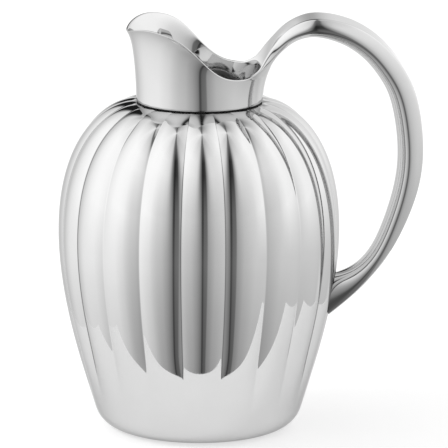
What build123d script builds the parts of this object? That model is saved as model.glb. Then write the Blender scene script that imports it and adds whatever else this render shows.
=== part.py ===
"""Water pitcher in polished sheet metal, modelled as the separate pieces it is soldered from.

The frame has +Z up. The origin is the centre of the base, on the face that rests on the table.
The spout points to -X and the handle stands at +X. All sizes are in millimetres.
"""

import os
from math import atan, cos, hypot, pi, radians, sin, tan

from build123d import *

# ---- driving dimensions -------------------------------------------------------------------
LOBES = 20
LOBE_PITCH = 360 / LOBES

BODY_WALL = 1.2
BASE_FLAT_RADIUS = 46.0
BASE_CORNER_RADIUS = 16.0
WALL_LEAN = 17.0  # degrees from upright where the base corner ends
SHOULDER_HEIGHT = 195.5
NECK_RADIUS = 37.4
# the side of the body from the base corner to the neck, as radius and height pairs
LOWER_PULL = 30.0  # how far the first pull point stands along the leaning wall
BELLY_PULL = (97.2, 113.5)
UPPER_BELLY_PULL = (91.0, 164.5)
SHOULDER_PULL = (NECK_RADIUS + 26.0, SHOULDER_HEIGHT)
CREASE_DEPTH = 2.0
CREASE_LEAST = 0.05  # what is left of a crease where the wall turns round
CREASE_FULL = 0.25  # share of the side above which the creases have their full depth
CREASE_FADE = 0.80  # share of the side where the creases begin to fade into the shoulder
LEVEL_LIMIT = 0.35  # flattest slope for which a crease's depth is converted to a radius

CORNER_OVERLAP = 1.0  # how far the round bottom reaches up into the lobed side

BASE_PAN_RADIUS = 42.0
BASE_PAN_SEAT_RADIUS = 45.8
BASE_PAN_SEAT_THICKNESS = 1.0
BASE_PAN_CLEARANCE = 0.05

COLLAR_WALL = 1.6
COLLAR_SEAM_CHAMFER = 0.5
# the rim of the neck, from the handle (0 degrees) round to the tip of the spout (180 degrees):
# angle, rim height, how far the rim stands out beyond the foot of the neck
RIM = [
    (0, 214.2, 3.6),
    (25, 214.2, 3.2),
    (45, 214.2, 2.2),
    (60, 214.5, 0.9),
    (75, 218.0, 0.9),
    (90, 226.8, 3.0),
    (105, 237.4, 6.4),
    (120, 242.1, 7.1),
    (135, 243.5, 6.7),
    (150, 242.3, 6.7),
    (165, 240.0, 6.6),
    (180, 238.6, 6.6),
]
LIP_SHARE = 0.38  # share of the spout's flare that belongs to the turned-out lip
LIP_POWER = 12
LIP_FROM = 60  # degrees where the lip begins
LIP_FULL = 105  # degrees where the lip is complete

SOLDER_FILM = 0.03  # gap left where one sheet is soldered to the next

RING_WALL = 1.2
RING_CLEARANCE = 0.1
RING_BELOW = 4.5
RING_ABOVE = 5.5

HANDLE_WALL = 0.8
SIDE_PULL = 0.64  # roundness of the handle's inner half where its sides don't swell
# how a swelling side moves the pulls of its curve: outward, towards the face, and outward below
SWELL_OUT = 1.36
SWELL_UP = 0.68
SWELL_LOW = 2.43
# the handle from the neck round to its foot, one row per section: x and z of its two outer
# ridges, direction that its outer face looks in (degrees above +X), half width at the ridges and
# at the widest, how far the face is dished, full depth, and how far the inner half has changed
# from the neck's curve (0) to its own round (1)
HANDLE = [
    (27.7, 214.2, 180, 27.7, 27.7, 11.7, 13.3, 0.0),
    (33.0, 217.2, 172, 24.8, 25.0, 7.0, 8.8, 0.2),
    (36.2, 221.0, 163, 21.6, 22.6, 4.3, 6.8, 0.5),
    (40.2, 227.4, 151, 17.2, 19.4, 2.2, 6.8, 0.85),
    (45.0, 233.9, 139, 13.8, 16.9, 0.9, 8.0, 1.0),
    (51.0, 240.1, 127, 12.2, 16.0, 0.3, 9.6, 1.0),
    (60.0, 245.0, 108, 11.8, 16.0, 0.0, 11.2, 1.0),
    (70.5, 246.6, 92, 12.0, 16.2, 0.0, 12.5, 1.0),
    (87.1, 243.5, 74, 12.0, 16.2, 0.0, 13.8, 1.0),
    (105.4, 233.0, 52, 11.6, 15.8, 0.0, 14.8, 1.0),
    (119.2, 217.3, 33, 10.8, 14.9, 0.0, 15.4, 1.0),
    (128.0, 197.9, 16, 9.9, 13.8, 0.0, 15.4, 1.0),
    (131.9, 167.2, -1, 9.2, 12.9, 0.0, 14.8, 1.0),
    (127.5, 138.0, -16, 9.3, 12.2, 0.0, 13.4, 1.0),
    (115.6, 110.4, -31, 9.6, 11.4, 0.0, 10.8, 1.0),
    (104.0, 93.6, -38, 9.7, 10.8, 0.0, 10.0, 1.0),
    (91.9, 80.6, -46, 9.7, 10.3, 0.0, 15.3, 1.0),
    (77.0, 68.1, -50, 9.6, 9.9, 0.0, 26.4, 1.0),
]
HANDLE_FILM = 0.08  # gap left for solder between the handle's two halves
CHANNEL_EDGE = -HANDLE_WALL - HANDLE_FILM  # where the inner half meets the outer face's sheet
FOOT_PLATE_THICKNESS = 1.2
LEAST_DISH = 0.01  # keeps a flat face an arc, so that every section has the same edges


# ---- curves shared by the pieces ----------------------------------------------------------
def bezier(points, t):
    """The point at t (0 to 1) on the Bezier curve with these control points."""
    points = [tuple(p) for p in points]
    while len(points) > 1:
        points = [
            tuple(a + (b - a) * t for a, b in zip(p, q)) for p, q in zip(points, points[1:])
        ]
    return points[0]


def ease(start, end, value):
    """Rises smoothly from 0 at start to 1 at end."""
    share = min(max((value - start) / (end - start), 0.0), 1.0)
    return share**3 * (10 - 15 * share + 6 * share**2)


def side_points():
    """Control points of the body's side, from the end of the base corner to the neck."""
    lean = radians(WALL_LEAN)
    corner_end = (
        BASE_FLAT_RADIUS + BASE_CORNER_RADIUS * cos(lean),
        BASE_CORNER_RADIUS * (1 - sin(lean)),
    )
    lower = (corner_end[0] + LOWER_PULL * sin(lean), corner_end[1] + LOWER_PULL * cos(lean))
    neck = (NECK_RADIUS, SHOULDER_HEIGHT)
    return [corner_end, lower, BELLY_PULL, UPPER_BELLY_PULL, SHOULDER_PULL, neck]


def side_section(t, outward):
    """Height, crest radius and crease radius of the body at t, moved outward from the skin."""
    points = side_points()
    radius, height = bezier(points, t)
    steps = [(q[0] - p[0], q[1] - p[1]) for p, q in zip(points, points[1:])]
    run, rise = bezier(steps, t)
    normal = (rise / hypot(run, rise), -run / hypot(run, rise))
    depth = CREASE_DEPTH * ease(0, CREASE_FULL, t) * (1 - ease(CREASE_FADE, 1, t))
    crest = radius + outward * normal[0]
    crease = crest - max(depth / max(normal[0], LEVEL_LIMIT), CREASE_LEAST)
    return height + outward * normal[1], crest, crease


# ---- the body -----------------------------------------------------------------------------
SIDE_STATIONS = [0.0, 0.05, 0.12, 0.2, 0.3, 0.4, 0.5, 0.6, 0.7, 0.78, 0.85, 0.91, 0.96, 1.0]


def lobed_solid(outward):
    """The body's side as a solid, from the base corner to just under the neck."""
    with BuildPart() as solid:
        for t in SIDE_STATIONS:
            height, crest, crease = side_section(t, outward)
            with BuildSketch(Plane.XY.offset(height)):
                with BuildLine():
                    for lobe in range(LOBES):
                        middle = lobe * LOBE_PITCH
                        ThreePointArc(
                            Vector(crease, 0).rotate(Axis.Z, middle - LOBE_PITCH / 2),
                            Vector(crest, 0).rotate(Axis.Z, middle),
                            Vector(crease, 0).rotate(Axis.Z, middle + LOBE_PITCH / 2),
                        )
                make_face()
        loft()
    return solid.part


def corner_solid(outward):
    """The round bottom of the body as a solid, up to where the lobed side begins."""
    radius = BASE_CORNER_RADIUS + outward
    lean = radians(WALL_LEAN)
    half_turn = (pi / 2 - lean) / 2
    end = (BASE_FLAT_RADIUS + radius * cos(lean), BASE_CORNER_RADIUS - radius * sin(lean))
    middle = (
        BASE_FLAT_RADIUS + radius * sin(half_turn),
        BASE_CORNER_RADIUS - radius * cos(half_turn),
    )
    with BuildPart() as solid:
        with BuildSketch(Plane.XZ):
            with BuildLine():
                bottom = Line((0, -outward), (BASE_FLAT_RADIUS, -outward))
                corner = ThreePointArc(bottom @ 1, middle, end)
                overlap = (end[0] - 2 * CORNER_OVERLAP, end[1] + CORNER_OVERLAP)
                Polyline(corner @ 1, overlap, (0, overlap[1]), bottom @ 0)
            make_face()
        revolve(axis=Axis.Z)
    return solid.part


lobes_outside = lobed_solid(0)
lobes_inside = lobed_solid(-BODY_WALL)
neck_bore_radius = NECK_RADIUS - COLLAR_WALL

with BuildPart() as body_shell:
    add(lobes_outside)
    add(corner_solid(0))
    add(lobes_inside, mode=Mode.SUBTRACT)
    add(corner_solid(-BODY_WALL), mode=Mode.SUBTRACT)
    with Locations((0, 0, SHOULDER_HEIGHT)):
        Cylinder(neck_bore_radius, 4 * BODY_WALL, mode=Mode.SUBTRACT)
    Cylinder(BASE_PAN_RADIUS, 4 * BODY_WALL, mode=Mode.SUBTRACT)
body_shell.part.label = "body_shell"

# a stepped disc: its underside is flush with the body's, and its rim sits inside the body
with BuildPart() as base_pan:
    Cylinder(
        BASE_PAN_RADIUS - BASE_PAN_CLEARANCE,
        BODY_WALL,
        align=(Align.CENTER, Align.CENTER, Align.MIN),
    )
    with Locations((0, 0, BODY_WALL)):
        Cylinder(
            BASE_PAN_SEAT_RADIUS,
            BASE_PAN_SEAT_THICKNESS,
            align=(Align.CENTER, Align.CENTER, Align.MIN),
        )
base_pan.part.label = "base_pan"


# ---- the neck -----------------------------------------------------------------------------
def collar_radius(angle, flare, t):
    """Outside radius of the neck at share t of its height, above a point of its foot."""
    lip = LIP_SHARE * ease(LIP_FROM, LIP_FULL, angle)
    return NECK_RADIUS + flare * ((1 - lip) * t**2 + lip * t**LIP_POWER)


COLLAR_STATIONS = [0.2, 0.4, 0.6, 0.75, 0.85, 0.92, 0.96, 1.0]
COLLAR_FOOT = SHOULDER_HEIGHT + SOLDER_FILM

# one row more beyond each end of the half, so that it crosses the mirror plane squarely
row_before = (-RIM[1][0], *RIM[1][1:])
row_after = (360 - RIM[-2][0], *RIM[-2][1:])

with BuildPart() as half_collar:
    for angle, rim_height, flare in [row_before, *RIM, row_after]:
        outward = Vector(1, 0, 0).rotate(Axis.Z, angle)
        across = outward.cross(Vector(0, 0, 1))
        with BuildSketch(Plane(origin=(0, 0, 0), x_dir=outward, z_dir=across)):
            outside = [
                (
                    collar_radius(angle, flare, t),
                    SHOULDER_HEIGHT + t * (rim_height - SHOULDER_HEIGHT),
                )
                for t in COLLAR_STATIONS
            ]
            inside = [(radius - COLLAR_WALL, height) for radius, height in reversed(outside)]
            with BuildLine():
                seam = Line(
                    (NECK_RADIUS - COLLAR_SEAM_CHAMFER, COLLAR_FOOT),
                    (NECK_RADIUS, COLLAR_FOOT + COLLAR_SEAM_CHAMFER),
                )
                outer = Spline(seam @ 1, *outside)
                Line(outer @ 1, inside[0])
                inner = Spline(*inside, (neck_bore_radius, COLLAR_FOOT))
                Line(inner @ 1, seam @ 0)
            make_face()
    loft()
    split(bisect_by=Plane.XZ, keep=Keep.BOTTOM)
with BuildPart() as neck_collar:
    add(half_collar.part)
    mirror(half_collar.part, about=Plane.XZ)
neck_collar.part.label = "neck_collar"

with BuildPart() as neck_joint_ring:
    with BuildSketch(Plane.XY.offset(SHOULDER_HEIGHT - RING_BELOW)):
        Circle(neck_bore_radius - RING_CLEARANCE)
        Circle(neck_bore_radius - RING_CLEARANCE - RING_WALL, mode=Mode.SUBTRACT)
    extrude(amount=RING_BELOW + RING_ABOVE)
neck_joint_ring.part.label = "neck_joint_ring"


# ---- the handle ---------------------------------------------------------------------------
def section_plane(x, z, tilt):
    """The plane of a handle section: its y axis is the direction that the outer face looks in."""
    look = Vector(cos(radians(tilt)), 0, sin(radians(tilt)))
    return Plane(origin=(x, 0, z), x_dir=(0, 1, 0), z_dir=Vector(0, 1, 0).cross(look))


def inner_half(half_width, widest, dish, depth, change, inset):
    """Control points of one side of the handle's inner half, from the ridge to the middle."""
    turn = 2 * atan(dish / half_width) if dish > 0 else 0.0
    reach = half_width / sin(turn) * 4 / 3 * tan(turn / 4) if turn else half_width / 3
    arc_one = (half_width - reach * cos(turn), -reach * sin(turn) - (depth - dish) / 3)
    arc_two = (reach, -depth)
    swell = 1 - half_width / widest
    own_one = (
        half_width + SWELL_OUT * (widest - half_width),
        (SWELL_UP * swell - SIDE_PULL) * depth,
    )
    own_two = ((SIDE_PULL + SWELL_LOW * swell) * widest, -depth)
    one = tuple(a + (b - a) * change for a, b in zip(arc_one, own_one))
    two = tuple(a + (b - a) * change for a, b in zip(arc_two, own_two))
    return [
        (half_width - inset, CHANNEL_EDGE),
        (one[0] - inset, one[1]),
        (two[0], two[1] + inset),
        (0, inset - depth),
    ]


def flip(points):
    """The same points on the other side of the handle's middle, in the opposite order."""
    return [(-x, y) for x, y in reversed(points)]


with BuildPart() as handle_envelope:
    for x, z, tilt, half_width, widest, dish, depth, change in HANDLE:
        with BuildSketch(section_plane(x, z, tilt)):
            side = inner_half(half_width, widest, dish, depth, change, 0)
            with BuildLine():
                ThreePointArc(
                    (-half_width, CHANNEL_EDGE),
                    (0, -dish - LEAST_DISH),
                    (half_width, CHANNEL_EDGE),
                )
                Bezier(*side)
                Bezier(*flip(side))
            make_face()
    loft()

with BuildPart() as body_clearance:
    add(lobed_solid(FOOT_PLATE_THICKNESS))

with BuildPart() as handle_outer_strap:
    for x, z, tilt, half_width, widest, dish, depth, change in HANDLE:
        with BuildSketch(section_plane(x, z, tilt)):
            sink = max(dish, LEAST_DISH)
            with BuildLine():
                face = ThreePointArc((-half_width, 0), (0, -sink), (half_width, 0))
                back = ThreePointArc(
                    (half_width, -HANDLE_WALL),
                    (0, -sink - HANDLE_WALL),
                    (-half_width, -HANDLE_WALL),
                )
                Line(face @ 1, back @ 0)
                Line(back @ 1, face @ 0)
            make_face()
    loft()
    add(body_clearance.part, mode=Mode.SUBTRACT)
    add(neck_collar.part, mode=Mode.SUBTRACT)
handle_outer_strap.part.label = "handle_outer_strap"

with BuildPart() as handle_inner_channel:
    for x, z, tilt, half_width, widest, dish, depth, change in HANDLE:
        with BuildSketch(section_plane(x, z, tilt)):
            outer_side = inner_half(half_width, widest, dish, depth, change, 0)
            inner_side = inner_half(half_width, widest, dish, depth, change, HANDLE_WALL)
            with BuildLine():
                right = Bezier(*outer_side)
                left = Bezier(*flip(outer_side))
                inner_left = Bezier(*reversed(flip(inner_side)))
                inner_right = Bezier(*reversed(inner_side))
                Line(left @ 1, inner_left @ 0)
                Line(inner_right @ 1, right @ 0)
            make_face()
    loft()
    add(body_clearance.part, mode=Mode.SUBTRACT)
    add(neck_collar.part, mode=Mode.SUBTRACT)
handle_inner_channel.part.label = "handle_inner_channel"

with BuildPart() as handle_foot_plate:
    add(handle_envelope.part)
    add(body_clearance.part, mode=Mode.INTERSECT)
    add(lobes_outside, mode=Mode.SUBTRACT)
handle_foot_plate.part.label = "handle_foot_plate"

# ---- hand over ----------------------------------------------------------------------------
os.makedirs("parts", exist_ok=True)
pieces = [
    body_shell,
    base_pan,
    neck_joint_ring,
    neck_collar,
    handle_outer_strap,
    handle_inner_channel,
    handle_foot_plate,
]
for piece in pieces:
    export_step(piece.part, f"parts/{piece.part.label}.step")
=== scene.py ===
"""Water pitcher in mirror-polished metal: the visual model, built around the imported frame.

The sheets are built from the same curves as the CAD model: the lobed body is a formula, and the
neck and the handle are one control cage that a subdivision surface smooths before it is cut into
the separate sheets. Lengths are in millimetres until a mesh is made. +Z is up, the spout points
to -X and the handle stands at +X.
"""

import math

import bmesh
import bpy
import numpy as np
from mathutils import Matrix, Vector


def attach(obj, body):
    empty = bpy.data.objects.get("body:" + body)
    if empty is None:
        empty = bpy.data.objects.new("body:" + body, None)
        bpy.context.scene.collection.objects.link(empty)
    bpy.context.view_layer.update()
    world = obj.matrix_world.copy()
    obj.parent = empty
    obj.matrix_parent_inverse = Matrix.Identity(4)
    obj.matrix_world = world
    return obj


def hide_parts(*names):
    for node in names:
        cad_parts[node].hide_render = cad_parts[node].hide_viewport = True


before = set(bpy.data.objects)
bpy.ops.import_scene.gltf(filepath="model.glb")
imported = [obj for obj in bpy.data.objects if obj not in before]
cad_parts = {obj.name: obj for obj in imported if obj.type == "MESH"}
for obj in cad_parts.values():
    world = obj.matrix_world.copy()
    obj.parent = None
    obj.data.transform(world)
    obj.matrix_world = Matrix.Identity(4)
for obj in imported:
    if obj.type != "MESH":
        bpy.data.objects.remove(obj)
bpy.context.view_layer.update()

MM = 0.001
BODY = "root"

# ---- driving dimensions, in millimetres ---------------------------------------------------
LOBES = 20
BASE_FLAT_RADIUS = 46.0
BASE_CORNER_RADIUS = 16.0
WALL_LEAN = math.radians(17.0)
BODY_WALL = 1.2
NECK_RADIUS = 37.4
SHOULDER_HEIGHT = 195.5
LOWER_PULL = 30.0
SIDE_PULLS = [(97.2, 113.5), (91.0, 164.5), (NECK_RADIUS + 26.0, SHOULDER_HEIGHT)]
CREASE_DEPTH = 2.0
CREASE_FULL = 0.25
CREASE_FADE = 0.80
CREASE_AT_NECK = 0.25  # share of the crease's depth that is left beside the neck
CREASE_END = 0.975  # share of the side where the last of the crease runs out under the neck
CREASE_FILLET = 0.2  # half angle of the rounding at the bottom of a crease, in degrees

COLLAR_WALL = 1.6
COLLAR_FOOT = SHOULDER_HEIGHT + 0.05
SEAM_HEIGHT = 0.75  # the open joint round the neck's foot
SEAM_DEPTH = 0.9
# the rim, from the handle (0 degrees) round to the spout (180): angle, height, flare
RIM = np.array([
    (0, 214.2, 3.6), (25, 214.2, 3.2), (45, 214.2, 2.2), (60, 214.5, 0.9), (75, 218.0, 0.9),
    (90, 226.8, 3.0), (105, 237.4, 6.4), (120, 242.1, 7.1), (135, 243.5, 6.7),
    (150, 242.3, 6.7), (165, 240.0, 6.6), (180, 238.6, 6.6),
])
LIP_SHARE = 0.38
LIP_POWER = 12
LIP_FROM = 60
LIP_FULL = 105

SIDE_PULL = 0.64  # roundness of the handle's inner half where its sides don't swell
# how a swelling side moves the pulls of its curve: outward, towards the face, and outward below
SWELL_OUT = 1.36
SWELL_UP = 0.68
SWELL_LOW = 2.43
# the handle from the neck to its foot: ridge x and z, direction that its outer face looks in,
# half width at the ridges and at the widest, dish of the face, depth, and change from the neck's
# curve to its own round
HANDLE = np.array([
    (27.7, 214.2, 180, 27.7, 27.7, 11.7, 13.3, 0.0), (33.0, 217.2, 172, 24.8, 25.0, 7.0, 8.8, 0.2),
    (36.2, 221.0, 163, 21.6, 22.6, 4.3, 6.8, 0.5), (40.2, 227.4, 151, 17.2, 19.4, 2.2, 6.8, 0.85),
    (45.0, 233.9, 139, 13.8, 16.9, 0.9, 8.0, 1.0), (51.0, 240.1, 127, 12.2, 16.0, 0.3, 9.6, 1.0),
    (60.0, 245.0, 108, 11.8, 16.0, 0.0, 11.2, 1.0), (70.5, 246.6, 92, 12.0, 16.2, 0.0, 12.5, 1.0),
    (87.1, 243.5, 74, 12.0, 16.2, 0.0, 13.8, 1.0), (105.4, 233.0, 52, 11.6, 15.8, 0.0, 14.8, 1.0),
    (119.2, 217.3, 33, 10.8, 14.9, 0.0, 15.4, 1.0), (128.0, 197.9, 16, 9.9, 13.8, 0.0, 15.4, 1.0),
    (131.9, 167.2, -1, 9.2, 12.9, 0.0, 14.8, 1.0), (127.5, 138.0, -16, 9.3, 12.2, 0.0, 13.4, 1.0),
    (115.6, 110.4, -31, 9.6, 11.4, 0.0, 10.8, 1.0), (104.0, 93.6, -38, 9.7, 10.8, 0.0, 10.0, 1.0),
    (91.9, 80.6, -46, 9.7, 10.3, 0.0, 15.3, 1.0), (77.0, 68.1, -50, 9.6, 9.9, 0.0, 26.4, 1.0),
])
DISH_GONE = (5, 6)  # rows of the table between which the last of the dish goes
SPLIT_GONE = (1.5, 5)  # rows between which the rim's two edges draw together into one ridge
HANDLE_WALL = 0.5
FOOT_PLATE = 1.2
FOOT_SINK = 0.3  # how far the handle's foot reaches into the body's wall

BEAD = 1.2  # distance from the edge at which the rim and the ridges begin to turn round
BEAD_CORNER = 0.3  # share of that distance at which the rounding's inner cage points stand


# ---- curves -------------------------------------------------------------------------------
def ease(start, end, value):
    """Rises smoothly from 0 at start to 1 at end."""
    share = np.clip((np.asarray(value, float) - start) / (end - start), 0, 1)
    return share**3 * (10 - 15 * share + 6 * share**2)


def bezier(points, t):
    """Points on the Bezier curve with these control points, one for each t."""
    t = np.atleast_1d(np.asarray(t, float))[:, None]
    rows = [np.asarray(p, float)[None, :] for p in points]
    while len(rows) > 1:
        rows = [a + (b - a) * t for a, b in zip(rows, rows[1:])]
    return rows[0]


def spline(knots, values, at):
    """Natural cubic spline through values (one row per knot), read at each place in at."""
    knots = np.asarray(knots, float)
    values = np.asarray(values, float).reshape(len(knots), -1)
    gaps = np.diff(knots)
    system = np.eye(len(knots))
    right = np.zeros_like(values)
    for i in range(1, len(knots) - 1):
        system[i, i - 1 : i + 2] = gaps[i - 1], 2 * (gaps[i - 1] + gaps[i]), gaps[i]
        steps = np.diff(values[i - 1 : i + 2], axis=0) / gaps[i - 1 : i + 1, None]
        right[i] = 6 * (steps[1] - steps[0])
    bend = np.linalg.solve(system, right)
    at = np.atleast_1d(np.asarray(at, float))
    i = np.clip(np.searchsorted(knots, at) - 1, 0, len(gaps) - 1)
    h = gaps[i][:, None]
    a = ((knots[i + 1] - at) / gaps[i])[:, None]
    b = 1 - a
    curve = ((a**3 - a) * bend[i] + (b**3 - b) * bend[i + 1]) * h**2 / 6
    return a * values[i] + b * values[i + 1] + curve


# ---- meshes -------------------------------------------------------------------------------
SHARP_ANGLE = math.radians(32)  # an edge that turns more than this isn't shaded smooth


def make_piece(name, points, faces, normals, replaces):
    """A smooth mesh piece that stands for a CAD node. normals holds one list per face, or None."""
    mesh = bpy.data.meshes.new(name)
    mesh.from_pydata((np.asarray(points) * MM).tolist(), [], [list(f) for f in faces])
    mesh.polygons.foreach_set("use_smooth", [True] * len(mesh.polygons))
    mesh.update()
    if normals is None:
        mesh.set_sharp_from_angle(angle=SHARP_ANGLE)
    else:
        mesh.normals_split_custom_set(np.vstack(normals).tolist())
    piece = bpy.data.objects.new(name, mesh)
    bpy.context.scene.collection.objects.link(piece)
    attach(piece, BODY)
    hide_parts(*replaces)
    return piece


def grid_faces(rows, columns):
    """Quads of a grid of points, numbered row by row and closed both ways."""
    return [
        (
            r * columns + c,
            r * columns + (c + 1) % columns,
            (r + 1) % rows * columns + (c + 1) % columns,
            (r + 1) % rows * columns + c,
        )
        for r in range(rows)
        for c in range(columns)
    ]


# ---- the body -----------------------------------------------------------------------------
CORNER_END = (
    BASE_FLAT_RADIUS + BASE_CORNER_RADIUS * math.cos(WALL_LEAN),
    BASE_CORNER_RADIUS * (1 - math.sin(WALL_LEAN)),
)
SIDE = [
    CORNER_END,
    (
        CORNER_END[0] + LOWER_PULL * math.sin(WALL_LEAN),
        CORNER_END[1] + LOWER_PULL * math.cos(WALL_LEAN),
    ),
    *SIDE_PULLS,
    (NECK_RADIUS, SHOULDER_HEIGHT),
]
SIDE_STEPS = [(q[0] - p[0], q[1] - p[1]) for p, q in zip(SIDE, SIDE[1:])]


def side_profile(t):
    """Points, outward normals and crease depths of the body's side."""
    run = bezier(SIDE_STEPS, t)
    normal = np.stack([run[:, 1], -run[:, 0]], axis=1)
    normal /= np.linalg.norm(normal, axis=1)[:, None]
    left = 1 - (1 - CREASE_AT_NECK) * ease(CREASE_FADE, 1, t)
    depth = CREASE_DEPTH * ease(0, CREASE_FULL, t) * left * (1 - ease(CREASE_END, 1, t))
    return bezier(SIDE, t), normal, depth


def crease_shape(angle):
    """0 on the crest of a lobe, 1 in the crease, for angles in degrees."""
    pitch = 360 / LOBES
    from_crest = np.abs((np.asarray(angle) + pitch / 2) % pitch - pitch / 2)
    from_crease = np.sqrt((pitch / 2 - from_crest) ** 2 + CREASE_FILLET**2)
    return (np.maximum(pitch / 2 - from_crease, 0) / (pitch / 2)) ** 2


def turned(radius, angle, height):
    """Points at these radii, angles (degrees) and heights."""
    a = np.radians(angle)
    return np.stack(np.broadcast_arrays(radius * np.cos(a), radius * np.sin(a), height), -1)


CORNER_ROWS = 9
OUTER_ROWS = 128
INNER_ROWS = 44
PAN_OPENING = 42.0
EDGE_BREAK = 0.15  # how far the cut edges of the body's sheet are taken off
NECK_SEAT = 0.5  # how far out from the mouth the curve of the inside begins
# angles from a crease at which the mesh has a column, in degrees
CREASE_COLUMNS = [0.09, 0.19, 0.32, 0.52, 0.9, 1.6, 2.8, 4.3, 5.9, 7.5]


def build_body():
    pitch = 360 / LOBES
    half = pitch / 2
    one_lobe = [-x for x in reversed(CREASE_COLUMNS)] + [0] + CREASE_COLUMNS + [half]
    angles = np.concatenate([lobe * pitch + half + np.array(one_lobe) for lobe in range(LOBES)])
    shape = crease_shape(angles)

    def side_rows(count, outward):
        t = np.linspace(0, 1, count)
        profile, normal, depth = side_profile(t)
        move = outward - depth[:, None] * shape
        radius = profile[:, :1] + normal[:, :1] * move
        height = profile[:, 1:] + normal[:, 1:] * move
        return list(turned(radius, angles, height))

    def corner_rows(outward):
        turn = np.linspace(-math.pi / 2, -WALL_LEAN, CORNER_ROWS)[:-1]
        reach = BASE_CORNER_RADIUS + outward
        return [
            turned(
                BASE_FLAT_RADIUS + reach * math.cos(a),
                angles,
                BASE_CORNER_RADIUS + reach * math.sin(a),
            )
            for a in turn
        ]

    bore = NECK_RADIUS - COLLAR_WALL
    rows = [turned(PAN_OPENING + EDGE_BREAK, angles, 0.0)]
    rows += corner_rows(0) + side_rows(OUTER_ROWS, 0)
    rows += [turned(bore + EDGE_BREAK, angles, SHOULDER_HEIGHT - 0.01)]
    rows += [turned(bore, angles, SHOULDER_HEIGHT - EDGE_BREAK)]
    inner = [
        row for row in side_rows(INNER_ROWS, -BODY_WALL)
        if np.hypot(row[0, 0], row[0, 1]) > bore + NECK_SEAT
    ]
    rows += [turned(bore, angles, SHOULDER_HEIGHT - BODY_WALL)]
    rows += list(reversed(corner_rows(-BODY_WALL) + inner))
    rows += [turned(PAN_OPENING, angles, BODY_WALL), turned(PAN_OPENING, angles, EDGE_BREAK)]
    points = np.concatenate(rows)
    faces = grid_faces(len(rows), len(angles))
    return make_piece("body_shell_look", points, faces, None, ["body_shell"])


def skin_radius(points):
    """Radius of the body's skin at the height and angle of each point, near the handle's foot."""
    t = np.linspace(0.05, 0.7, 400)
    profile, normal, depth = side_profile(t)
    angle = np.degrees(np.arctan2(points[:, 1], points[:, 0]))
    height = points[:, 2]
    crest = np.interp(height, profile[:, 1], profile[:, 0])
    drop = np.interp(height, profile[:, 1], depth / normal[:, 0])
    return crest - drop * crease_shape(angle)


# ---- the neck and the handle: one cage ------------------------------------------------------
COLUMN_STEP = 7.5
ROOT_COLUMNS = 6  # columns on each side of the handle's middle
ROOT_ANGLE = ROOT_COLUMNS * COLUMN_STEP
COLLAR_T = [0.08, 0.2, 0.36, 0.52, 0.66, 0.78, 0.87, 0.935]


def rim_at(angle):
    """Height and flare of the rim at these angles (degrees)."""
    before = RIM[1:3][::-1] * (-1, 1, 1)
    after = RIM[-3:-1][::-1] * (-1, 1, 1) + (360, 0, 0)
    rows = np.vstack([before, RIM, after])
    return spline(rows[:, 0], rows[:, 1:], np.abs((np.asarray(angle) + 180) % 360 - 180))


def collar_point(angle, t, inward):
    """A point of the neck at share t of its height."""
    height, flare = rim_at(angle)[0]
    folded = abs((angle + 180) % 360 - 180)
    lip = LIP_SHARE * ease(LIP_FROM, LIP_FULL, folded)
    radius = NECK_RADIUS + flare * ((1 - lip) * t**2 + lip * t**LIP_POWER) - inward
    return turned(radius, angle, SHOULDER_HEIGHT + t * (height - SHOULDER_HEIGHT))


def near_rim(angle, distance, inward):
    """A point of the neck this far below the rim."""
    height = rim_at(angle)[0][0] - SHOULDER_HEIGHT
    return collar_point(angle, 1 - distance / height, inward)


def handle_tracks(s):
    """Cage points of the handle's section at s, counted in rows of the table above.

    Returns the underside and the outer face, each from the +Y edge to the -Y edge, and the
    two pairs of points between them that round the ridges.
    """
    x, z, tilt, half, widest, dish, depth, change = spline(range(len(HANDLE)), HANDLE, s)[0]
    dish = max(dish, 0.0) * (1 - ease(*DISH_GONE, s))
    change = min(change, 1.0)
    look = np.array([math.cos(math.radians(tilt)), 0, math.sin(math.radians(tilt))])
    origin = np.array([x, 0, z])
    turn = 2 * math.atan(dish / half)
    reach = half / math.sin(turn) * 4 / 3 * math.tan(turn / 4) if turn > 1e-4 else half / 3
    arc = [(half - reach * math.cos(turn), -reach * math.sin(turn) - (depth - dish) / 3),
           (reach, -depth)]
    swell = 1 - half / widest
    own = [
        (half + SWELL_OUT * (widest - half), (SWELL_UP * swell - SIDE_PULL) * depth),
        ((SIDE_PULL + SWELL_LOW * swell) * widest, -depth),
    ]
    one, two = np.array(arc) + (np.array(own) - np.array(arc)) * change
    split = COLLAR_WALL / 2 * (1 - ease(*SPLIT_GONE, s))
    slope = math.atan(2 * dish / half)
    apart = np.array([math.sin(slope), -math.cos(slope)]) * split
    under = [np.array([half, 0]) + apart, one + apart, two, (0, -depth)]
    face_edge = np.array([half, 0]) - apart

    fine = np.linspace(0, 1, 200)
    walk = bezier(under, fine)
    length = np.concatenate([[0], np.cumsum(np.linalg.norm(np.diff(walk, axis=0), axis=1))])
    start = np.interp(BEAD, length, fine)
    corner = np.interp(BEAD * BEAD_CORNER, length, fine)
    low_half = bezier(under, np.linspace(start, 1, ROOT_COLUMNS + 1))
    low_corner = bezier(under, corner)[0]

    def face(distance):
        across = face_edge[0] - distance
        drop = dish * (1 - (across / face_edge[0]) ** 2)
        return np.array([across, face_edge[1] - drop - face_edge[1] * (1 - across / half)])

    top_corner = face(BEAD * BEAD_CORNER)
    spread = (face_edge[0] - BEAD) * np.linspace(1, 0, ROOT_COLUMNS + 1)
    top_half = np.array([face(face_edge[0] - a) for a in spread])

    def place(flat):
        flat = np.atleast_2d(flat)
        across = np.array([0, 1, 0])
        return origin + flat[:, :1] * across + flat[:, 1:] * look

    def both(half_line):
        other = half_line[-2::-1] * (-1, 1)
        return place(np.vstack([half_line, other]))

    corners = place([low_corner, top_corner, low_corner * (-1, 1), top_corner * (-1, 1)])
    return both(low_half), both(top_half), corners


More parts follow.
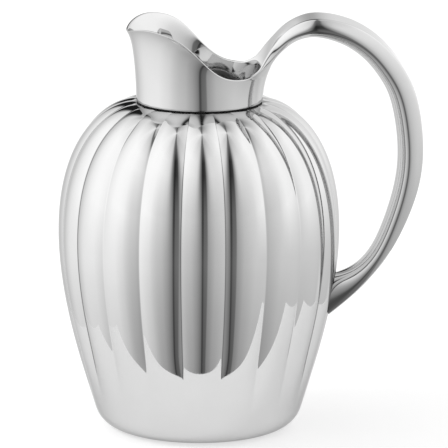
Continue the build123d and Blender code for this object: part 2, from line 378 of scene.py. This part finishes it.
class Cage:
    """Points and tagged quads, with points found again by name."""

    def __init__(self):
        self.index = {}
        self.points = []
        self.faces = []
        self.tags = []

    def put(self, key, point):
        self.index[key] = len(self.points)
        self.points.append(tuple(point))

    def quad(self, tag, *keys):
        self.faces.append([self.index[k] for k in keys])
        self.tags.append(tag)


COLLAR, STRAP, CHANNEL, PLATE = range(4)
FOOT_FROM = 14  # row of the handle's table at which the foot begins
FOOT_ROWS = 8
# where the cage has a section, in rows of the table: closer together past the top of the loop
HANDLE_ROWS = [*np.arange(1, 8, 1 / 2), *np.arange(8, FOOT_FROM + 0.01, 1 / 3)]


# the neck's foot from the outside in, over the open joint: distance inward, height above the foot
NECK_FOOT = [
    (0.0, SEAM_HEIGHT + 0.6), (0.12, SEAM_HEIGHT + 0.1), (0.4, SEAM_HEIGHT),
    (SEAM_DEPTH, SEAM_HEIGHT - 0.1), (SEAM_DEPTH + 0.1, 0.1), (SEAM_DEPTH + 0.2, 0.0),
    (COLLAR_WALL - 0.2, 0.0), (COLLAR_WALL, 0.3),
]


def foot_rows():
    """Handle sections that turn gradually into the outline where the handle meets the body."""
    fine = np.linspace(FOOT_FROM, len(HANDLE) - 1, 160)
    tracks = np.array([np.vstack(handle_tracks(s)) for s in fine])
    count = tracks.shape[1]
    gap = np.array([
        np.hypot(row[:, 0], row[:, 1]) - skin_radius(row) for row in tracks
    ])
    rows = []
    levels = [FOOT_PLATE, -FOOT_SINK]
    ends = np.array([
        [np.interp(-level, -gap[:, c], fine) for c in range(count)] for level in levels
    ])
    for share in np.linspace(0, 1, FOOT_ROWS + 1)[1:]:
        rows.append(FOOT_FROM + (ends[0] - FOOT_FROM) * share)
    rows.append(ends[1])
    placed = []
    for places in rows:
        points = [
            [np.interp(places[c], fine, tracks[:, c, k]) for k in range(3)] for c in range(count)
        ]
        placed.append(np.array(points))
    under = 2 * ROOT_COLUMNS + 1
    return [(p[:under], p[under : 2 * under], p[2 * under :]) for p in placed]


def build_cage():
    cage = Cage()
    turns = [k * COLUMN_STEP for k in range(round(360 / COLUMN_STEP))]
    top = len(COLLAR_T)

    # the collar: outside (E), inside (I), its foot, and the rounded rim
    for angle in turns:
        for row, t in enumerate(COLLAR_T):
            cage.put(("E", row, angle), collar_point(angle, t, 0))
            cage.put(("I", row, angle), collar_point(angle, t, COLLAR_WALL))
        cage.put(("E", top, angle), near_rim(angle, BEAD, 0))
        cage.put(("I", top, angle), near_rim(angle, BEAD, COLLAR_WALL))
        for k, (inward, above) in enumerate(NECK_FOOT):
            cage.put(("F", k, angle), turned(NECK_RADIUS - inward, angle, COLLAR_FOOT + above))
    last_foot = len(NECK_FOOT) - 1
    after = dict(zip(turns, turns[1:] + turns[:1]))
    for a, b in after.items():
        for row in range(top):
            cage.quad(COLLAR, ("E", row, a), ("E", row, b), ("E", row + 1, b), ("E", row + 1, a))
            cage.quad(COLLAR, ("I", row, b), ("I", row, a), ("I", row + 1, a), ("I", row + 1, b))
        for k in range(last_foot):
            cage.quad(COLLAR, ("F", k + 1, a), ("F", k + 1, b), ("F", k, b), ("F", k, a))
        cage.quad(COLLAR, ("F", 0, a), ("F", 0, b), ("E", 0, b), ("E", 0, a))
        cage.quad(COLLAR, ("F", last_foot, b), ("F", last_foot, a), ("I", 0, a), ("I", 0, b))

    # the handle's rows
    sections = [handle_tracks(s) for s in HANDLE_ROWS] + foot_rows()
    columns = list(range(2 * ROOT_COLUMNS + 1))
    root_angles = [(ROOT_ANGLE - c * COLUMN_STEP) % 360 for c in columns]
    for c, angle in zip(columns, root_angles):
        cage.index["under", 0, c] = cage.index["E", top, angle]
        cage.index["face", 0, c] = cage.index["I", top, angle]
    for row, (under, face, corners) in enumerate(sections, start=1):
        for c in columns:
            cage.put(("under", row, c), under[c])
            cage.put(("face", row, c), face[c])
        for side, (low, high) in enumerate([corners[:2], corners[2:]]):
            cage.put(("low", side, row), low)
            cage.put(("high", side, row), high)
    last = len(sections)
    for row in range(last):
        plate = row == last - 1
        for c in columns[:-1]:
            cage.quad(
                PLATE if plate else CHANNEL,
                ("under", row, c + 1), ("under", row, c), ("under", row + 1, c),
                ("under", row + 1, c + 1),
            )
            cage.quad(
                PLATE if plate else STRAP,
                ("face", row, c), ("face", row, c + 1), ("face", row + 1, c + 1),
                ("face", row + 1, c),
            )

    # the rounding: down one ridge, round the rim, and up the other ridge
    rim_angles = [a for a in turns if ROOT_ANGLE <= a <= 360 - ROOT_ANGLE]
    for angle in rim_angles:
        cage.put(("low", angle), near_rim(angle, BEAD * BEAD_CORNER, 0))
        cage.put(("high", angle), near_rim(angle, BEAD * BEAD_CORNER, COLLAR_WALL))
    path = []
    for row in range(last, 0, -1):
        path.append([("under", row, 0), ("low", 0, row), ("high", 0, row), ("face", row, 0)])
    for angle in rim_angles:
        path.append([("E", top, angle), ("low", angle), ("high", angle), ("I", top, angle)])
    end = columns[-1]
    for row in range(1, last + 1):
        path.append([("under", row, end), ("low", 1, row), ("high", 1, row), ("face", row, end)])
    for k, (here, there) in enumerate(zip(path, path[1:])):
        on_rim = last <= k < last + len(rim_angles) - 1
        at_foot = k == 0 or k == len(path) - 2
        for strip in range(3):
            tag = CHANNEL if strip == 0 else STRAP
            tag = COLLAR if on_rim else PLATE if at_foot else tag
            cage.quad(tag, here[strip], there[strip], there[strip + 1], here[strip + 1])
    return cage


SUBDIVISIONS = 2


def smoothed(cage):
    """Points, quads, tags and point normals of the cage's subdivision surface."""
    mesh = bpy.data.meshes.new("cage")
    mesh.from_pydata(cage.points, [], cage.faces)
    mesh.polygons.foreach_set("use_smooth", [True] * len(mesh.polygons))
    for _ in range(max(cage.tags) + 1):
        mesh.materials.append(None)
    mesh.polygons.foreach_set("material_index", cage.tags)
    mesh.validate()
    holder = bpy.data.objects.new("cage", mesh)
    bpy.context.scene.collection.objects.link(holder)
    subdivide = holder.modifiers.new("subdivide", "SUBSURF")
    subdivide.levels = SUBDIVISIONS
    subdivide.render_levels = SUBDIVISIONS
    subdivide.boundary_smooth = "PRESERVE_CORNERS"
    shape = bpy.data.meshes.new_from_object(
        holder.evaluated_get(bpy.context.evaluated_depsgraph_get())
    )
    points = np.array([v.co for v in shape.vertices])
    normals = np.array([v.normal for v in shape.vertices])
    faces = np.array([list(p.vertices) for p in shape.polygons])
    tags = np.array([p.material_index for p in shape.polygons])
    bpy.data.objects.remove(holder)
    bpy.data.meshes.remove(mesh)
    bpy.data.meshes.remove(shape)
    return points, faces, tags, normals


def open_edges(faces):
    """Directed edges of the quads that have no face on their other side."""
    edges = {(a, b) for f in faces for a, b in zip(f, np.roll(f, -1))}
    return [(a, b) for a, b in edges if (b, a) not in edges]


def loops_of(edges):
    """The closed loops that directed edges form."""
    after = dict(edges)
    loops = []
    while after:
        start, here = next(iter(after.items()))
        loop = [start]
        del after[start]
        while here != start:
            loop.append(here)
            here = after.pop(here)
        loops.append(loop)
    return loops


def flat_normal(points, face):
    a, b, c = (np.asarray(points[face[k]]) for k in (0, 1, 2))
    normal = np.cross(b - a, c - a)
    size = np.linalg.norm(normal)
    return normal / size if size > 0 else np.array([0.0, 0.0, 1.0])


def zip_loop(points, loop):
    """Faces that close a long narrow loop, from the top of one of its ends to the other."""
    heights = [points[p][2] if points[p][1] > 0 else -math.inf for p in loop]
    first = int(np.argmax(heights))
    ring = loop[first:] + loop[:first]
    count = len(ring)
    faces = []
    for k in range(count // 2):
        quad = [ring[k], ring[-k % count], ring[-(k + 1) % count], ring[k + 1]]
        face = [p for n, p in enumerate(quad) if p not in quad[:n]]
        if len(face) > 2:
            faces.append(face)
    return faces


def cut_out(whole, tag):
    """The points, faces and point normals of one tag's share of the whole surface."""
    points, faces, tags, normals = whole
    chosen = faces[tags == tag]
    used, flat = np.unique(chosen, return_inverse=True)
    return points[used], flat.reshape(chosen.shape), normals[used]


def build_capped(name, whole, tag, replaces):
    """A piece closed by hidden faces across each of its open ends."""
    points, faces, normals = cut_out(whole, tag)
    looks = [normals[f] for f in faces]
    all_faces = [list(f) for f in faces]
    for loop in loops_of(open_edges(faces)):
        for face in zip_loop(points, loop):
            all_faces.append(face)
            looks.append(np.tile(flat_normal(points, face), (len(face), 1)))
    return make_piece(name, points, all_faces, looks, replaces)


def build_sheet(name, whole, tag, replaces):
    """A piece that is a sheet: the visible side, a hidden side, and its edges."""
    points, faces, normals = cut_out(whole, tag)
    count = len(points)
    all_points = np.vstack([points, points - normals * HANDLE_WALL])
    all_faces = [list(f) for f in faces] + [[p + count for p in reversed(f)] for f in faces]
    looks = [normals[f] for f in faces] + [-normals[f[::-1]] for f in faces]
    for a, b in open_edges(faces):
        face = [b, a, a + count, b + count]
        all_faces.append(face)
        looks.append(np.tile(flat_normal(all_points, face), (4, 1)))
    return make_piece(name, all_points, all_faces, looks, replaces)


# ---- the round pieces: base pan and joint ring ----------------------------------------------
TURNED_COLUMNS = 240
SAME_PLACE = 1e-6  # metres; points closer than this are one point
NO_AREA = 1e-14  # square metres; a face smaller than this is a leftover of merging points
PAN_GAP = 0.06
PAN_SEAT_RADIUS = 45.8
PAN_SEAT_GAP = 0.02
PAN_SEAT = 1.0
PAN_HOLLOW_RADIUS = 36.5
PAN_HOLLOW = 0.5  # how far the middle of the pan's underside stands above the table
PAN_CHAMFER = 0.2
RING_RADIUS = NECK_RADIUS - COLLAR_WALL - 0.1
RING_WALL = 1.2
RING_BELOW = 4.5
RING_ABOVE = 5.5
RING_CHAMFER = 0.3


def build_turned(name, outline, replaces):
    """A round piece from a closed outline of radius and height; radius 0 is on the axis."""
    angles = np.linspace(0, 360, TURNED_COLUMNS + 1)[:-1]
    points = np.concatenate([turned(radius, angles, height) for radius, height in outline])
    faces = grid_faces(len(outline), len(angles))
    piece = make_piece(name, points, faces, None, replaces)
    shape = bmesh.new()
    shape.from_mesh(piece.data)
    bmesh.ops.remove_doubles(shape, verts=shape.verts, dist=SAME_PLACE)
    empty = [f for f in shape.faces if f.calc_area() < NO_AREA]
    bmesh.ops.delete(shape, geom=empty, context="FACES_ONLY")
    shape.to_mesh(piece.data)
    shape.free()
    return piece


def softened(outline, reach):
    """The outline with each corner off the axis cut by a narrow chamfer."""
    result = []
    for k, here in enumerate(outline):
        here = np.array(here)
        if here[0] == 0:
            result.append(here)
            continue
        for other in (outline[k - 1], outline[(k + 1) % len(outline)]):
            step = np.array(other) - here
            result.append(here + step * reach / np.linalg.norm(step))
    return result


def build_pan():
    edge = PAN_OPENING - PAN_GAP
    seat = BODY_WALL + PAN_SEAT_GAP
    top = BODY_WALL + PAN_SEAT
    outline = softened([
        (0, PAN_HOLLOW), (PAN_HOLLOW_RADIUS, PAN_HOLLOW), (PAN_HOLLOW_RADIUS + PAN_HOLLOW, 0.0),
        (edge, 0.0), (edge, seat), (PAN_SEAT_RADIUS, seat), (PAN_SEAT_RADIUS, top), (0, top),
    ], PAN_CHAMFER)
    return build_turned("base_pan_look", outline, ["base_pan"])


def build_ring():
    inside = RING_RADIUS - RING_WALL
    low = SHOULDER_HEIGHT - RING_BELOW
    high = SHOULDER_HEIGHT + RING_ABOVE
    outline = softened([
        (inside, low), (RING_RADIUS, low), (RING_RADIUS, high), (inside, high),
    ], RING_CHAMFER)
    return build_turned("neck_joint_ring_look", outline, ["neck_joint_ring"])


body = build_body()
whole = smoothed(build_cage())
collar = build_capped("neck_collar_look", whole, COLLAR, ["neck_collar"])
plate = build_capped("handle_foot_plate_look", whole, PLATE, ["handle_foot_plate"])
strap = build_sheet("handle_outer_strap_look", whole, STRAP, ["handle_outer_strap"])
channel = build_sheet("handle_inner_channel_look", whole, CHANNEL, ["handle_inner_channel"])
pan = build_pan()
ring = build_ring()


# ---- materials ----------------------------------------------------------------------------
class Nodes:
    """A node tree with short calls for the nodes that the materials share."""

    def __init__(self, owner):
        owner.use_nodes = True
        self.tree = owner.node_tree

    def add(self, kind, **settings):
        node = self.tree.nodes.new(kind)
        for name, value in settings.items():
            setattr(node, name, value)
        return node

    def link(self, value, socket):
        if isinstance(value, bpy.types.NodeSocket):
            self.tree.links.new(value, socket)
        else:
            socket.default_value = value

    def math(self, operation, *values):
        node = self.add("ShaderNodeMath", operation=operation)
        for value, socket in zip(values, node.inputs):
            self.link(value, socket)
        return node.outputs[0]

    def noise(self, place, scale, detail):
        node = self.add("ShaderNodeTexNoise")
        self.link(place, node.inputs["Vector"])
        node.inputs["Scale"].default_value = scale
        node.inputs["Detail"].default_value = detail
        return node.outputs[0]

    def stretched(self, place, scale):
        node = self.add("ShaderNodeMapping")
        self.link(place, node.inputs["Vector"])
        node.inputs["Scale"].default_value = scale
        return node.outputs[0]

    def between(self, value, low, high):
        """Maps 0 to 1 onto low to high."""
        node = self.add("ShaderNodeMapRange")
        self.link(value, node.inputs["Value"])
        node.inputs["To Min"].default_value = low
        node.inputs["To Max"].default_value = high
        return node.outputs[0]

    def ramp(self, value, stops):
        """Grey stops, given as pairs of place (0 to 1) and level."""
        node = self.add("ShaderNodeValToRGB")
        self.link(value, node.inputs[0])
        elements = node.color_ramp.elements
        while len(elements) < len(stops):
            elements.new(0.5)
        for element, (place, level) in zip(elements, stops):
            element.position = place
            element.color = (level, level, level, 1)
        return node.outputs[0]

    def bump(self, height, distance, normal=None):
        node = self.add("ShaderNodeBump")
        self.link(height, node.inputs["Height"])
        node.inputs["Distance"].default_value = distance
        if normal is not None:
            self.link(normal, node.inputs["Normal"])
        return node.outputs[0]


# noise scales, in waves per metre: patches of haze, patches of tone, and waves left by forming
HAZE_SCALE = 28.0
TONE_SCALE = 60.0
FORMING_SCALE = 30.0
HAZE_SHARE = 0.6  # share of the roughness that follows the haze; the marks have the rest
MARK_DEPTH = 0.01  # depth of the fine marks as a share of the waves' height
# painted shade: the reflections at a glancing angle are tinted grey, which darkens the outline
GLANCING_PAINTED_SHADE = 0.62  # grey of the reflections at a glancing angle, which draws the outline


def metal(name, tone, roughness, ripple, grain):
    """A metal whose gloss, tone and surface vary slightly, as hand-finished sheet does.

    tone and roughness are pairs of lowest and highest value, ripple is the height in metres of
    the slow waves left by forming, and grain is a function that returns the fine marks.
    """
    material = bpy.data.materials.new(name)
    nodes = Nodes(material)
    shader = nodes.tree.nodes["Principled BSDF"]
    shader.inputs["Metallic"].default_value = 1
    # painted shade: glancing reflections are tinted grey to draw a dark outline
    shader.inputs["Specular Tint"].default_value = (GLANCING_PAINTED_SHADE, GLANCING_PAINTED_SHADE, GLANCING_PAINTED_SHADE, 1)
    place = nodes.add("ShaderNodeTexCoord").outputs["Object"]
    marks = grain(nodes, place)
    haze = nodes.noise(place, HAZE_SCALE, 3.0)
    gloss = nodes.math(
        "MULTIPLY_ADD", haze, HAZE_SHARE, nodes.math("MULTIPLY", marks, 1 - HAZE_SHARE)
    )
    nodes.link(nodes.between(gloss, *roughness), shader.inputs["Roughness"])
    patches = nodes.noise(place, TONE_SCALE, 4.0)
    nodes.link(nodes.between(patches, *tone), shader.inputs["Base Color"])
    waves = nodes.bump(nodes.noise(place, FORMING_SCALE, 1.0), ripple)
    nodes.link(nodes.bump(marks, ripple * MARK_DEPTH, waves), shader.inputs["Normal"])
    return material


def polishing_marks(nodes, place):
    """Hair-fine marks that run mostly up and down."""
    return nodes.noise(nodes.stretched(place, (2600.0, 2600.0, 130.0)), 1.0, 3.0)


def turning_marks(nodes, place):
    """Fine rings round the axis, as a lathe leaves them."""
    wave = nodes.add("ShaderNodeTexWave", wave_type="RINGS", rings_direction="Z")
    nodes.link(place, wave.inputs["Vector"])
    wave.inputs["Scale"].default_value = 600.0
    wave.inputs["Distortion"].default_value = 0.6
    wave.inputs["Detail"].default_value = 2.0
    return wave.outputs[1]


def painted_joint_shade():
    """A dark, dull finish: painted shade inside a narrow joint, where the groove's shadow falls.
    """
    material = bpy.data.materials.new("joint_painted_shade")
    nodes = Nodes(material)
    shader = nodes.tree.nodes["Principled BSDF"]
    place = nodes.add("ShaderNodeTexCoord").outputs["Object"]
    shade_grain = nodes.noise(place, 700.0, 3.0)
    # painted shade: a near-black base colour for the shadow in the groove
    nodes.link(nodes.between(shade_grain, 0.004, 0.03), shader.inputs["Base Color"])
    nodes.link(nodes.between(shade_grain, 0.45, 0.7), shader.inputs["Roughness"])
    nodes.link(nodes.bump(shade_grain, 2e-5), shader.inputs["Normal"])
    return material


def paint_joint_shade(piece):
    """Gives the faces inside the open joint at the neck's foot the painted shade."""
    piece.data.materials.append(painted_joint_shade())
    top = (COLLAR_FOOT + SEAM_HEIGHT + 0.05) * MM
    inner = (NECK_RADIUS - SEAM_DEPTH - 0.3) * MM
    outer = (NECK_RADIUS - 0.15) * MM
    for face in piece.data.polygons:
        reach = math.hypot(face.center.x, face.center.y)
        if face.center.z < top and inner < reach < outer:
            face.material_index = 1


METAL_TONE = 0.66
TONE_CHANGE = 0.015
polished = metal(
    "polished_metal", (METAL_TONE - TONE_CHANGE, METAL_TONE + TONE_CHANGE), (0.02, 0.06), 4e-6,
    polishing_marks,
)
satin = metal("satin_metal", (0.52, 0.58), (0.24, 0.42), 8e-6, turning_marks)
for piece in (body, collar, plate, strap, channel):
    piece.data.materials.append(polished)
for piece in (pan, ring):
    piece.data.materials.append(satin)
# painted shade: the faces inside the open joint at the neck's foot are made near black
paint_joint_shade(collar)

# ---- floor ----------------------------------------------------------------------------------
# The object stands on a pale board, which it mirrors. A wide floor of the same colour carries
# the board on to the horizon and isn't mirrored. Sizes are in metres.
BOARD_FRONT = [(-0.188, -0.045), (-0.10, -0.098), (0.0, -0.1215), (0.10, -0.109), (0.24, -0.085)]
BOARD_BACK = 1.6
BOARD_STEPS = 40
FLOOR_RADIUS = 4.0
FLOOR_SIDES = 64
FLOOR_DROP = 0.0004  # how far the floor lies below the board
FLOOR_GLOW = 0.50
FLOOR_TONE = 0.56
FLOOR_SPECKLE = 0.01


def stage_piece(name, points, material):
    mesh = bpy.data.meshes.new(name)
    mesh.from_pydata(points, [], [tuple(range(len(points)))])
    mesh.materials.append(material)
    piece = bpy.data.objects.new(name, mesh)
    bpy.context.scene.collection.objects.link(piece)
    return piece


def pale_floor():
    """A matt pale paint with a fine speckle."""
    material = bpy.data.materials.new("pale_floor")
    nodes = Nodes(material)
    shader = nodes.tree.nodes["Principled BSDF"]
    shader.inputs["Roughness"].default_value = 0.9
    shader.inputs["Specular IOR Level"].default_value = 0.0
    place = nodes.add("ShaderNodeTexCoord").outputs["Object"]
    fine = nodes.noise(place, 900.0, 2.0)
    speckle = nodes.between(fine, FLOOR_TONE - FLOOR_SPECKLE, FLOOR_TONE + FLOOR_SPECKLE)
    nodes.link(speckle, shader.inputs["Base Color"])
    shader.inputs["Emission Color"].default_value = (1, 1, 1, 1)
    shader.inputs["Emission Strength"].default_value = FLOOR_GLOW
    return material


pale = pale_floor()
front_x, front_y = np.transpose(BOARD_FRONT)
board_x = np.linspace(front_x[0], front_x[-1], BOARD_STEPS)
board_y = spline(front_x, front_y, board_x)[:, 0]
stage_piece("board", [
    *[(x, y, 0) for x, y in zip(board_x, board_y)],
    (board_x[-1], BOARD_BACK, 0), (board_x[0], BOARD_BACK, 0),
], pale)
floor_angles = [math.tau * k / FLOOR_SIDES for k in range(FLOOR_SIDES)]
floor = stage_piece("floor", [
    (FLOOR_RADIUS * math.cos(a), FLOOR_RADIUS * math.sin(a), -FLOOR_DROP) for a in floor_angles
], pale)
floor.visible_glossy = False

# ---- studio -------------------------------------------------------------------------------
# Brightness of the studio round the object, by direction: degrees round from the camera's side
# (0), positive to the right, and degrees above the horizon. Two wide bright walls stand left and
# right, the camera's side is left dark with one hard edge, and a dark ceiling hangs behind.
WHITE = 1.5
# level with the object
ROUND = [
    (-180, 1.35), (-150, 1.05), (-120, 1.30), (-95, 1.43), (-75, 1.43), (-60, 1.33), (-50, 1.14),
    (-41, 1.0), (-30, 0.93), (-20, 0.80), (-14, 0.66), (-8, 0.46), (-4, 0.32), (-1.5, 0.08),
    (1.5, 0.05), (3, 0.17), (11, 0.20), (13, 0.50), (20, 0.64), (30, 0.78), (41, 0.87), (60, 0.99),
    (70, 1.15), (85, 1.30), (120, 1.33), (140, 1.45), (180, 1.40),
]
# a little below it
BELOW = [
    (-180, 1.35), (-150, 1.10), (-120, 1.23), (-82, 1.23), (-60, 1.06), (-50, 0.91), (-41, 0.81),
    (-27, 0.72), (-20, 0.61), (-14, 0.52), (-8, 0.40), (-3, 0.28), (-1, 0.09), (1, 0.09),
    (3, 0.19), (11, 0.24), (13, 0.46), (21, 0.56), (30, 0.69), (41, 0.75), (60, 0.86), (125, 0.90),
    (140, 1.22), (180, 1.35),
]
# well above it
HIGH = [
    (-180, 0.9), (-150, 1.10), (-120, 1.37), (-90, 1.46), (-60, 1.42), (-45, 1.32), (-30, 1.20),
    (-20, 1.06), (-14, 0.80), (-9, 0.40), (-4, 0.16), (-1, 0.03), (2, 0.03), (10, 0.07),
    (14, 0.34), (22, 0.85), (30, 1.03), (50, 1.10), (65, 1.20), (90, 1.37), (120, 1.35),
    (145, 1.10), (180, 0.9),
]
OVERHEAD = [
    (-180, 0.12), (-157, 0.35), (-140, 0.95), (-90, 1.25), (-60, 1.15), (-40, 0.95),
    (-20, 0.85), (-12, 0.65), (-8, 0.22), (8, 0.22), (14, 0.60), (40, 0.76), (60, 0.95),
    (100, 1.0), (140, 0.68), (165, 0.45), (180, 0.12),
]
TOWARD_FLOOR = [(-90, 0.35), (-60, 0.50), (-41, 0.67), (-27, 0.84), (-15, 1.0)]
TURN_BELOW = [(-14, 0.0), (5, 1.0)]
TURN_HIGH = [(8, 0.0), (36, 1.0)]
TURN_OVERHEAD = [(50, 0.0), (75, 1.0)]
# the dark ceiling behind: how far round and how far up it reaches
DARK_SIDE = [(-180, 1.0), (-167, 1.0), (-158, 0.0), (172, 0.0), (178, 1.0)]
DARK_CEILING = [(8, 0.0), (14, 1.0), (50, 1.0), (62, 0.0)]
DARK = 0.02
BACKDROP = 0.95

world = bpy.data.worlds.new("studio")
bpy.context.scene.world = world
nodes = Nodes(world)
direction = nodes.add("ShaderNodeSeparateXYZ")
nodes.link(nodes.add("ShaderNodeTexCoord").outputs["Generated"], direction.inputs[0])
x, y, z = direction.outputs
turn = nodes.math("ARCTAN2", x, nodes.math("MULTIPLY", y, -1.0))
rise = nodes.math("ARCSINE", z)
around = nodes.math("MULTIPLY_ADD", turn, 1 / math.tau, 0.5)
upward = nodes.math("MULTIPLY_ADD", rise, 1 / math.pi, 0.5)


def by_turn(stops):
    return nodes.ramp(around, [((a + 180) / 360, level / WHITE) for a, level in stops])


def by_rise(stops):
    return nodes.ramp(upward, [((a + 90) / 180, level) for a, level in stops])


def blend(share, low, high):
    """low where share is 0, high where it is 1."""
    rest = nodes.math("MULTIPLY", nodes.math("SUBTRACT", 1.0, share), low)
    return nodes.math("ADD", rest, nodes.math("MULTIPLY", share, high))


level = nodes.math("MULTIPLY", by_turn(BELOW), by_rise(TOWARD_FLOOR))
level = blend(by_rise(TURN_BELOW), level, by_turn(ROUND))
level = blend(by_rise(TURN_HIGH), level, by_turn(HIGH))
level = blend(by_rise(TURN_OVERHEAD), level, by_turn(OVERHEAD))
dark = nodes.math(
    "MULTIPLY", nodes.ramp(around, [((a + 180) / 360, share) for a, share in DARK_SIDE]),
    by_rise(DARK_CEILING),
)
level = blend(dark, level, DARK / WHITE)
level = nodes.math("MULTIPLY", level, WHITE)
# the camera itself sees a plain pale backdrop
seen = nodes.add("ShaderNodeLightPath").outputs["Is Camera Ray"]
nodes.link(blend(seen, level, BACKDROP), nodes.tree.nodes["Background"].inputs["Color"])

# one soft light from the left, which the metal doesn't mirror, for the shadow on the floor
KEY_ENERGY = 6.0
KEY_SIZE = 0.5
KEY_PLACE = (-1.3, -0.1, 1.1)
KEY_AIM = Vector((0, 0, 0.1))
light = bpy.data.lights.new("key", "AREA")
light.energy = KEY_ENERGY
light.size = KEY_SIZE
key = bpy.data.objects.new("key", light)
bpy.context.scene.collection.objects.link(key)
key.location = KEY_PLACE
key.rotation_euler = (KEY_AIM - key.location).to_track_quat("-Z", "Y").to_euler()
key.visible_glossy = False

# ---- camera -------------------------------------------------------------------------------
CAMERA_DISTANCE = 2.96
CAMERA_AZIMUTH = math.radians(-2.1)
CAMERA_ELEVATION = math.radians(12.55)
CAMERA_ROLL = math.radians(0.29)
CAMERA_LENS = 401.8
AIM_ASIDE = 0.0148  # the point aimed at: how far right of the axis, and how high
AIM_HEIGHT = 0.1214
target = Vector((
    AIM_ASIDE * math.cos(CAMERA_AZIMUTH), AIM_ASIDE * math.sin(CAMERA_AZIMUTH), AIM_HEIGHT,
))
back = Vector((
    math.sin(CAMERA_AZIMUTH) * math.cos(CAMERA_ELEVATION),
    -math.cos(CAMERA_AZIMUTH) * math.cos(CAMERA_ELEVATION),
    math.sin(CAMERA_ELEVATION),
))
camera_data = bpy.data.cameras.new("camera")
camera_data.lens = CAMERA_LENS
camera_data.sensor_width = 36
camera_data.clip_end = 50
camera = bpy.data.objects.new("camera", camera_data)
bpy.context.scene.collection.objects.link(camera)
camera.location = target + back * CAMERA_DISTANCE
camera.rotation_euler = (
    (-back).to_track_quat("-Z", "Y").to_matrix() @ Matrix.Rotation(CAMERA_ROLL, 3, "Z")
).to_euler()
bpy.context.scene.camera = camera
bpy.context.scene.view_settings.view_transform = "Standard"
